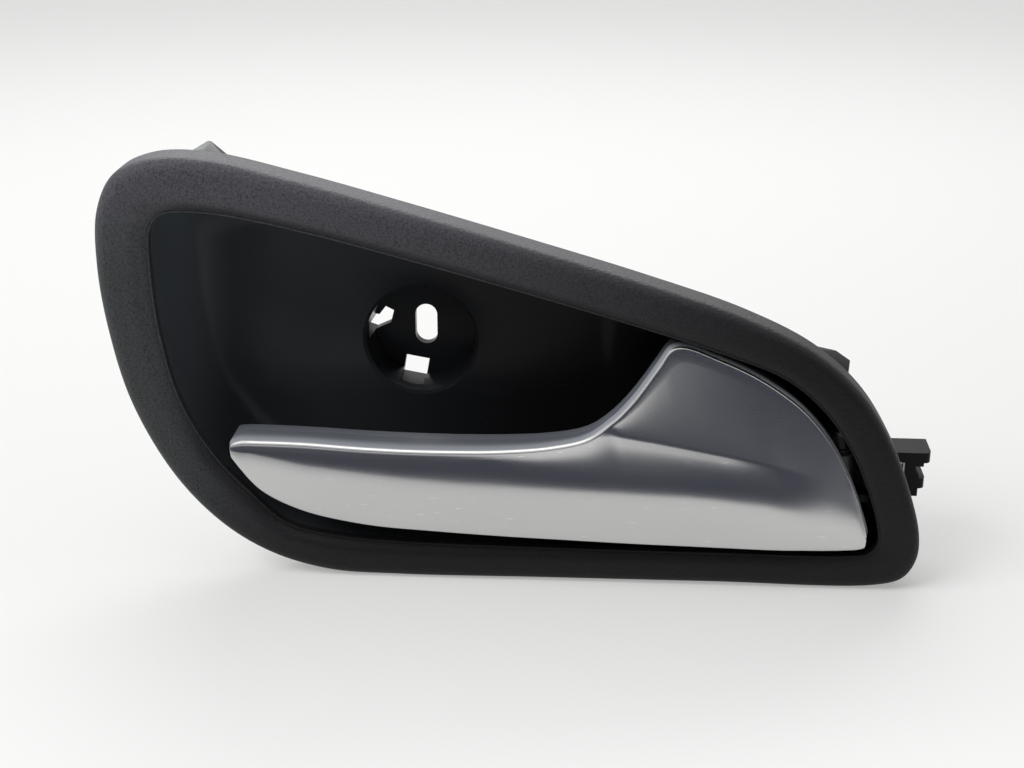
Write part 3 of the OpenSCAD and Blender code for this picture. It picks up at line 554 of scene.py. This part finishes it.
def bezel_section(rim, lip, low_x, high_x):
    """Section of the surround, from the rim over the crest to the lip and back along the hollow."""
    width = np.linalg.norm(lip - rim)
    rise = lerp(*RISE, np.clip((rim[0] - low_x) / (high_x - low_x), 0, 1))
    crest = TRIM_Y - rise
    wall = RIM_WALL / width
    bead = BEAD / width

    def across(share, y):
        return at_depth(lerp(rim, lip, share), y)

    front = []
    for a in ROLL_ANGLES:
        share = CREST_AT * (1 - np.cos(a) ** ROLL_SQUARE)
        front.append(across(share, TRIM_Y - rise * lerp(EDGE_SHARE, 1, np.sin(a) ** ROLL_SQUARE)))
    for u in FALL_AT:
        front.append(across(lerp(CREST_AT, 1 - bead, u), lerp(crest, LIP_Y, u ** FALL_SQUARE)))
    for a in BEAD_ANGLES:
        front.append(across(1 - bead * (0.5 + 0.5 * np.cos(a)), LIP_Y - BEAD_RISE * np.sin(a)))
    front.append(at_depth(lip, LIP_Y + LIP_ROUND))
    back = [at_depth(lip, LIP_BACK_Y), across(LIP_FOOT, LIP_BACK_Y)]
    for a in HOLLOW_ANGLES:
        share = wall + (HOLLOW_END - wall) * (1 - np.cos(a)) ** HOLLOW_ROUND
        depth = lerp(EDGE_SHARE, 1, np.sin(a) ** HOLLOW_SQUARE)
        back.append(across(share, TRIM_Y - (rise - RIM_WALL) * depth))
    back += [across(wall, TRIM_Y), at_depth(rim, TRIM_Y)]
    return front + back


lip_line = spline(LIP_POINTS, SPAN_STEPS, True)
rim_line = spline(RIM_POINTS, SPAN_STEPS, True)
lip_ends = lip_line[:, 0].min(), lip_line[:, 0].max()
sections = [bezel_section(rim, lip, *lip_ends) for rim, lip in zip(rim_line, lip_line)]
rows = len(sections[0])
outward_faces = [face[::-1] for face in grid_faces(len(sections), rows, True, True)]
bezel = piece_of("bezel_moulding", np.concatenate(sections) * MM, outward_faces, smooth_below=48)

# Heat stakes that join the surround to the carrier, at these steps along the lip
STAKES = [3, 20, 26, 31, 36, 41, 72, 75, 79, 84, 90, 96, 102]
STAKE_SPAN_STEPS = 4
STAKE_OUT = 3.4
STAKE_R = 0.9
STAKE_ROOT = 1.6
STAKE_HEAD_R = 1.15
STAKE_HEAD = 1.0
STAKE_BACK_Y = FLANGE_BACK_Y + 1.1
coarse = spline(LIP_POINTS, STAKE_SPAN_STEPS, True)
along = np.roll(coarse, -1, axis=0) - np.roll(coarse, 1, axis=0)
outward = np.stack([-along[:, 1], along[:, 0]], axis=1) / np.linalg.norm(along, axis=1)[:, None]
stake_points = [at_depth(coarse[i] + STAKE_OUT * outward[i], STAKE_BACK_Y) * MM for i in STAKES]
take_in(bezel, pegs("stakes", stake_points, GRAINED, Stem_Radius=STAKE_R,
                    Stem_Length=STAKE_BACK_Y - LIP_BACK_Y + STAKE_ROOT,
                    Head_Radius=STAKE_HEAD_R, Head_Height=STAKE_HEAD))

# Band beside the lip, where painted shade darkens the inner slope and, at the left, a painted sheen
# lightens it: share of it for each row of the section
BAND_FROM, BAND_FULL = 0.6, 0.85
BAND_ON_BEAD = 0.4
in_band = np.zeros(rows)
fall_row = len(ROLL_ANGLES)
bead_row = fall_row + len(FALL_AT)
in_band[fall_row:bead_row] = ramp(FALL_AT, BAND_FROM, BAND_FULL)
in_band[bead_row:bead_row + len(BEAD_ANGLES)] = BAND_ON_BEAD
painted_lip_shading = np.zeros(len(bezel.data.vertices), np.float32)
painted_lip_shading[:len(sections) * rows] = np.tile(in_band, len(sections))
bezel.data.attributes.new("painted_lip_shading", "FLOAT", "POINT").data.foreach_set("value", painted_lip_shading)
coat(bezel, GRAINED)
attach(bezel, "housing")
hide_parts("bezel")

# ------------------------------------------------------------------ carrier
# The back is moulded matt: faces that look back, the ribs and walls behind the bowl's floor
# outside the screw recess, and the rear seat
RECESS = (0, 0)
RECESS_R = 13.4
FLOOR_BACK_Y = -12.4
SEAT_Y = -0.1
LOOKS_BACK = 0.05
carrier = merged_copy("carrier", "carrier_moulding", smooth_below=32)
matt = []
for face in carrier.data.polygons:
    c = face.center / MM
    behind_floor = c.y > FLOOR_BACK_Y and np.hypot(c.x - RECESS[0], c.z - RECESS[1]) > RECESS_R
    matt.append(float(face.normal.y > LOOKS_BACK or behind_floor or c.y > SEAT_Y))
carrier.data.attributes.new("behind", "FLOAT", "FACE").data.foreach_set("value", matt)
coat(carrier, GLOSS)
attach(carrier, "housing")
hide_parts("carrier")


# ------------------------------------------------------------------ lever
# Lines along the lever, as places and heights: the crease under the fin, and where the front
# comes to BEND_LEAN and to the first of LOW_LEANS
CREASE = ((43.9, 49.3, 58, 62.8, 76.6, 87.1, 100, 106),
          (-14.4, -13.9, -15.3, -16.2, -18.6, -20.8, -24.5, -30))
BEND = ((-42, -24.6, 12.4, 30.3, 53.1, 75.8, 89.4, 106),
        (-17.6, -18, -18.8, -21, -22.5, -23.2, -24.6, -32))
BEND_END = ((-42, -38.9, -24.6, -1.9, 12.4, 35, 62.6, 79.2, 90.2, 101.5, 105.5),
            (-18.4, -18.8, -21.9, -24.2, -25.3, -26.1, -27.2, -29, -31.8, -36.8, -38.4))
# Leans of the front in degrees: the shoulder at the tip and past the grip, the fin and its
# top, the bend, and from its end down to the lower edge
SHOULDER_LEANS = (23, 33)
FIN_LEAN = 10
FIN_TOP_LEAN = -2.5
BEND_LEAN = 22
LOW_LEANS = (4.5, 0.8, -0.5)
# Places along the lever between which they change, and the start and full height of the fin
SHOULDER_GROWS = (0, 34)
SHOULDER_FADES = (72, 97)
FIN_TOP_FADES = (62, 92)
FIN_START = 44
FIN_HEIGHT = 3
# Zones of the front below its upper edge: reach above and below the crease, least heights, the
# height of the last and the share of the front that they may take
CREASE_ABOVE = 0.7
CREASE_BELOW = 0.4
LEAST_HEIGHTS = (0.5, 0.2, 0.5, 0.7)
LAST_HEIGHT = 3.5
ZONES_SHARE = 0.88
FRONT_STEPS = (7, 4, 6, 8, 6, 6)
# How squarely the front's depth is held within the room that it has
HOLD_SQUARE = 6


def front_curve(x, high, low, room):
    """Heights of the front from its upper edge down, and how far each is behind the crest."""
    crease, bend, bend_end = (np.interp(x, *line) for line in (CREASE, BEND, BEND_END))
    if x < FIN_START:
        crease = high
    fin = np.clip((high - crease) / FIN_HEIGHT, 0, 1)
    knots = [high]
    wanted = (crease + CREASE_ABOVE, crease - CREASE_BELOW, bend, bend_end)
    for least, z in zip(LEAST_HEIGHTS, wanted):
        knots.append(min(knots[-1] - least, z))
    knots = np.array(knots + [knots[-1] - LAST_HEIGHT])
    squeeze = min(1, ZONES_SHARE * (high - low) / (high - knots[-1]))
    knots = np.append(high - (high - knots) * squeeze, low)
    shoulder = lerp(*SHOULDER_LEANS, ramp(x, *SHOULDER_GROWS))
    shoulder = lerp(shoulder, FIN_LEAN, ramp(x, *SHOULDER_FADES))
    fin_top = lerp(FIN_TOP_LEAN, FIN_LEAN - 1, ramp(x, *FIN_TOP_FADES))
    top = lerp(max(shoulder, max(SHOULDER_LEANS)), fin_top, fin)
    upper = lerp(shoulder, FIN_LEAN, fin)
    leans = np.array([top, upper, shoulder, min(BEND_LEAN, shoulder), *LOW_LEANS])
    parts = [np.linspace(a, b, n, endpoint=False) for a, b, n in zip(knots, knots[1:], FRONT_STEPS)]
    heights = np.append(np.concatenate(parts), low)
    slopes = np.tan(np.radians(np.interp(-heights, -knots, leans)))
    falls = (heights[:-1] - heights[1:]) * (slopes[:-1] + slopes[1:]) / 2
    behind = np.append(np.cumsum(falls[::-1])[::-1], 0)
    behind -= behind.min()
    return heights, behind / (1 + (behind[0] / room) ** HOLD_SQUARE) ** (1 / HOLD_SQUARE)


# How far the blade draws back to its right end and to its tip, and between which places
END_BACK = 2
END_BACK_AT = (66, 104)
END_BACK_ROUND = 1.2
TIP_BACK = 1.2
TIP_BACK_AT = (0, 42)
# The rounded bright edge: its height, and for each row its share of that and of the wall's depth
EDGE_DROP = 1.15
EDGE_ROWS = ((0.06, 0.84), (0.16, 0.68), (0.34, 0.46), (0.54, 0.27), (0.72, 0.15), (0.87, 0.06))
EDGE_WALL = 1.7
# The lower edge: its height, and for each row its height and how far it is behind the front
LOW_EDGE = 0.8
LOW_EDGE_ROWS = ((0.4, 0.12), (0.1, 0.4), (0, 0.9))
# Least thickness left behind the front and behind the edge, and the height of a full section
FRONT_SPARE = 1.6
WALL_SPARE = 0.3
FULL_HEIGHT = 6


def lever_section(top, low, share, steep):
    """Section of the shell: upper wall, rounded edge, front and lower edge, back to the split."""
    x = (top[0] + low[0]) / 2
    height = top[1] - low[1]
    crest = BLADE_Y + END_BACK * ramp(x, *END_BACK_AT) ** END_BACK_ROUND
    crest = crest + TIP_BACK * ramp(-x, *TIP_BACK_AT)
    cut = min(1, height / FULL_HEIGHT)
    wide = cut * steep
    heights, behind = front_curve(x, top[1] - EDGE_DROP * wide, low[1] + LOW_EDGE * cut,
                                  SPLIT_Y - FRONT_SPARE - crest)
    edge = crest + behind[0]
    wall = min(edge + EDGE_WALL, SPLIT_Y - WALL_SPARE)
    upper = [(top[1], SPLIT_Y), (top[1], lerp(SPLIT_Y, wall, 0.5)), (top[1], wall)]
    upper += [(top[1] - drop * wide, lerp(edge, wall, depth)) for drop, depth in EDGE_ROWS]
    foot = crest + behind[-1]
    lower = [(low[1] + rise * cut, foot + back) for rise, back in LOW_EDGE_ROWS]
    lower.append((low[1], SPLIT_Y))
    return [at_depth(lerp(top, low, (top[1] - z) / height), lerp(SPLIT_Y, y, share))
            for z, y in upper + list(zip(heights, crest + behind)) + lower]


# Steps to a span of the lever's outline, and how far its tip and its right end are rounded
LEVER_STEPS = 8
TIP_ROUND = 0.7
END_ROUND = 0.9
# The edge is widened where the outline is steep, up to this, evened out over some stations
STEEPEST = 2.6
EVENED_OVER = 7
top_line = spline(LEVER_TOP, LEVER_STEPS, False)
low_line = spline(LEVER_BOTTOM, LEVER_STEPS, False)
middle = (top_line[:, 0] + low_line[:, 0]) / 2
tip_in = np.clip((middle - middle[0]) / TIP_ROUND, 0, 1)
end_in = np.clip((middle[-1] - middle) / END_ROUND, 0, 1)
depth_share = np.sqrt(1 - (1 - tip_in) ** 2) * np.sqrt(1 - (1 - end_in) ** 2)
run = np.gradient(top_line, axis=0)
steepness = np.linalg.norm(run, axis=1) / np.maximum(np.abs(run[:, 0]), TINY)
steepness = np.pad(np.clip(steepness, 1, STEEPEST), EVENED_OVER // 2, "edge")
steepness = np.convolve(steepness, np.ones(EVENED_OVER) / EVENED_OVER, "valid")
sections = [lever_section(*p) for p in zip(top_line, low_line, depth_share, steepness)]
rows = len(sections[0])
shell = piece_of("lever_shell_plated", np.concatenate(sections) * MM,
                 grid_faces(len(sections), rows, False, True), smooth_below=50)
# The plating ends on the upper wall and at the split. Painted light makes the wall paler towards
# its rim, painted shade darker towards the split
BARE_ROWS = 6
row_shares = {"plating": [0] * BARE_ROWS + [1] * (rows - BARE_ROWS - 1) + [0],
              "painted_rim_light": [0, 0.1] + [1] * (rows - 2)}
for name, shares in row_shares.items():
    attribute = shell.data.attributes.new(name, "FLOAT", "POINT")
    attribute.data.foreach_set("value", np.tile(shares, len(sections)).astype(np.float32))
coat(shell, CHROME)
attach(shell, "lever")
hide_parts("lever_shell")

core = merged_copy("lever_core", "lever_core_moulding", smooth_below=32)
coat(core, DARK)
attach(core, "lever")
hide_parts("lever_core")

# Three screws that hold core and shell together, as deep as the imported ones
SCREWS = [(-8, -27), (32, -28), (74, -28)]
depths = [v.co.y / MM for v in nodes["core_screws"].data.vertices]
screw_points = [at_depth(p, max(depths)) * MM for p in SCREWS]
screws = pegs("screws", screw_points, STEEL, Stem_Radius=1.3,
              Stem_Length=max(depths) - min(depths), Head_Radius=2.6, Head_Height=1.6)
coat(screws, STEEL)
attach(screws, "lever")
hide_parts("core_screws")

for name, material, slot in [
        ("hinge_pin", WIRE, "spring_steel"), ("pin_retainer", WIRE, "spring_steel"),
        ("return_spring", WIRE, "spring_steel"), ("lower_bush", NYLON, "nylon"),
        ("upper_bush", NYLON, "nylon"), ("rest_buffer", RUBBER, "rubber"),
        ("open_buffer", RUBBER, "rubber"), ("felt_upper", FELT, "felt"),
        ("felt_lower", FELT, "felt"), ("felt_left", FELT, "felt")]:
    coat(nodes[name], material)

# ------------------------------------------------------------------ floor, light and surroundings
# In metres. The floor lies just under the handle's lower edge
FLOOR_Z = -0.05095
FLOOR_FRONT_Y = -3.0
FLOOR_HALF = 4
BACKDROP_Y = 1.2
BACKDROP_ROUND = 0.5
BACKDROP_TOP = 2.0
# Share of the floor's own glow where the eye or a mirror meets it, its colours, how much more
# it glows in front of the handle and far behind it, and between which depths
GLOW_SHARE = 0.4
GLOW_LEAST, GLOW_MOST = (0.88, 0.89, 0.87), (1.88, 1.89, 1.87)
# The glow is least close to the handle, between the front and far depths: a painted shadow on the
# floor there
GLOW_FRONT, GLOW_FRONT_Y = 0.31, (-0.14, -0.03)
GLOW_FAR, GLOW_FAR_Y = 0.5, (0.45, 1.2)


def seen_share(tree):
    """1 for rays that the eye or a mirror follows, 0 for light that spreads."""
    path = tree.nodes.new("ShaderNodeLightPath")
    kinds = ("Is Camera Ray", "Is Glossy Ray", "Is Transmission Ray")
    seen = [Tone(tree, path.outputs[kind]) for kind in kinds]
    return (seen[0] + seen[1] + seen[2]).limit()


def floor_finish():
    """Pale matt floor with a soft glow of its own, for the eye and for mirrors only."""
    material = bpy.data.materials.new("pale_floor")
    material.use_nodes = True
    tree = material.node_tree
    shader = tree.nodes["Principled BSDF"]
    shader.inputs["Base Color"].default_value = (0.64, 0.64, 0.635, 1)
    shader.inputs["Roughness"].default_value = 0.75
    glow = tree.nodes.new("ShaderNodeEmission")
    depth = Tone(tree, tree.nodes.new("ShaderNodeTexCoord").outputs["Object"]).axes()[1]
    # Less glow close to the handle: a painted shadow on the floor
    level = (1 - depth.between(*GLOW_FRONT_Y)) * GLOW_FRONT + depth.between(*GLOW_FAR_Y) * GLOW_FAR
    tree.links.new(level.tint(GLOW_LEAST, GLOW_MOST).socket, glow.inputs["Color"])
    mix = tree.nodes.new("ShaderNodeMixShader")
    tree.links.new((seen_share(tree) * GLOW_SHARE).socket, mix.inputs[0])
    tree.links.new(shader.outputs[0], mix.inputs[1])
    tree.links.new(glow.outputs[0], mix.inputs[2])
    tree.links.new(mix.outputs[0], tree.nodes["Material Output"].inputs["Surface"])
    return material


def sweep():
    """Floor that turns up into a backdrop far behind the handle."""
    profile = [(FLOOR_FRONT_Y, 0.0), (BACKDROP_Y, 0.0)]
    profile += [(BACKDROP_Y + BACKDROP_ROUND * np.sin(a), BACKDROP_ROUND * (1 - np.cos(a)))
                for a in np.radians(np.linspace(10, 90, 9))]
    profile += [(BACKDROP_Y + BACKDROP_ROUND, BACKDROP_TOP)]
    points = [(x, y, FLOOR_Z + z) for y, z in profile for x in (-FLOOR_HALF, FLOOR_HALF)]
    faces = [(2 * i, 2 * i + 1, 2 * i + 3, 2 * i + 2) for i in range(len(profile) - 1)]
    floor = piece_of("floor", points, faces, smooth_below=60)
    floor.data.materials.append(floor_finish())


def dark_card():
    """Dim side of the room in front of the handle, seen only in its reflections."""
    y, x0, x1 = -0.15, -0.4, 0.5
    foot, top, lean = FLOOR_Z + 0.001, 0.068, 0.012
    points = [(x0, y, foot), (x1, y, foot), (x1, y - lean, top), (x0, y - lean, top)]
    card = piece_of("dim_room", points, [(0, 3, 2, 1)])
    material = bpy.data.materials.new("dim_room")
    material.use_nodes = True
    shader = material.node_tree.nodes["Principled BSDF"]
    shader.inputs["Base Color"].default_value = (0, 0, 0, 1)
    shader.inputs["Specular IOR Level"].default_value = 0.0
    shader.inputs["Emission Color"].default_value = (0.062, 0.066, 0.088, 1)
    shader.inputs["Emission Strength"].default_value = 1.0
    card.data.materials.append(material)
    card.visible_camera = False
    card.visible_shadow = False
    card.visible_diffuse = False


# What every lamp points at, the middle of the handle
LAMPS_AIM = Vector((0.02, 0, 0))


def soft_light(name, place, size, power):
    """Rectangular lamp, size in metres and power in watts."""
    lamp = bpy.data.lights.new(name, "AREA")
    lamp.shape = "RECTANGLE"
    lamp.size, lamp.size_y = size
    lamp.energy = power
    light = bpy.data.objects.new(name, lamp)
    light.location = place
    light.rotation_mode = "QUATERNION"
    light.rotation_quaternion = (LAMPS_AIM - Vector(place)).to_track_quat("-Z", "Y")
    scene.collection.objects.link(light)
    return light


def surroundings():
    """World that lights softly and is pale where the eye or a mirror meets it."""
    world = bpy.data.worlds.new("studio")
    scene.world = world
    world.use_nodes = True
    tree = world.node_tree
    colour = seen_share(tree).tint((0.22, 0.22, 0.225), (0.93, 0.935, 0.93))
    tree.links.new(colour.socket, tree.nodes["Background"].inputs["Color"])


sweep()
dark_card()
soft_light("overhead", (0.0, 0.0, 0.75), (0.9, 0.5), 1.7)
soft_light("behind_above", (0.02, 0.55, 0.5), (0.9, 0.35), 4.6)
soft_light("upper_left", (-0.8, -0.56, 0.88), (0.8, 0.64), 16.0).visible_glossy = False
surroundings()
